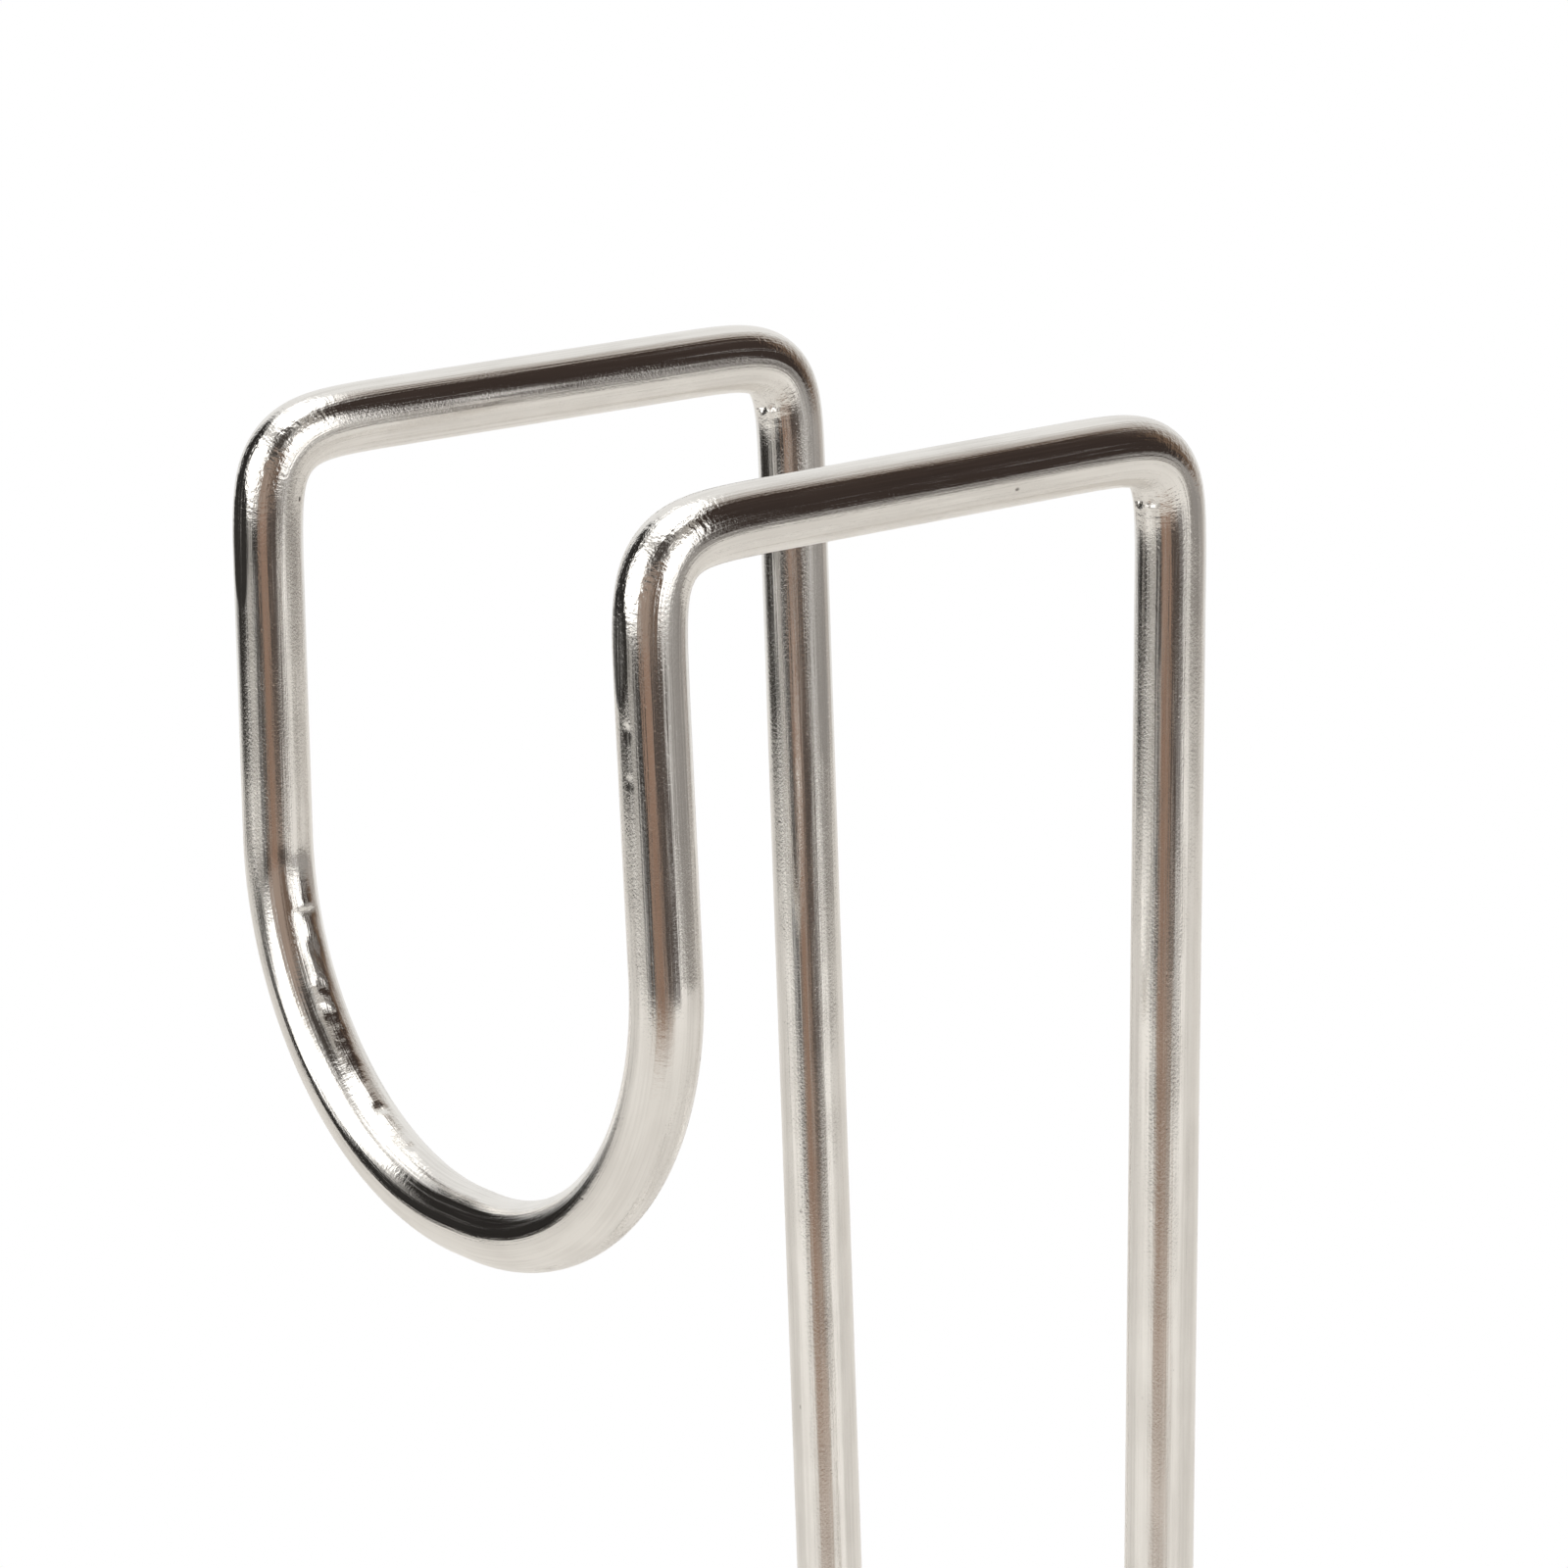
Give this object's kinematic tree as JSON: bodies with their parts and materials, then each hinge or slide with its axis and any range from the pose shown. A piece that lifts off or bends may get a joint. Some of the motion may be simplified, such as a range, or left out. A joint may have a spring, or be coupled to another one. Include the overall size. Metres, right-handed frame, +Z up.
{
  "type": "plastic bag holder",
  "caption": "Bent-wire holder that hooks over the edge of a panel and carries a ring for the mouth of a plastic bag, with a hinged ring that clamps the film.",
  "frame": {"origin": "on the top edge of the panel that the holder hangs from, midway between the two top bars and midway across the panel gap", "axes": "+Z up, +X to the right seen from the side of the hanging loop, +Y from the hanging loop through the panel towards the legs and the bag ring"},
  "size_m": [0.235, 0.2328, 0.2582],
  "materials": {
    "bright_wire": "bright drawn and polished steel wire",
    "weld_metal": "polished-over weld metal",
    "soft_vinyl": "satin soft vinyl"
  },
  "bodies": {
    "hanger": {"hanger_wire": "bright_wire", "bag_ring": "bright_wire", "ring_butt_weld": "weld_metal", "left_ring_weld": "weld_metal", "right_ring_weld": "weld_metal", "leg_tie": "bright_wire", "left_tie_weld": "weld_metal", "right_tie_weld": "weld_metal", "left_leg_cap": "soft_vinyl", "right_leg_cap": "soft_vinyl"},
    "clamp": {"clamp_ring": "bright_wire", "lift_tab": "bright_wire", "left_tab_weld": "weld_metal", "right_tab_weld": "weld_metal"}
  },
  "joints": [
    {"name": "clamp_hinge", "type": "hinge", "parent": "hanger", "child": "clamp", "pos_m": [0, 0.02805, -0.1875], "axis": [1, 0, 0], "range_deg": [0, 88]}
  ]
}
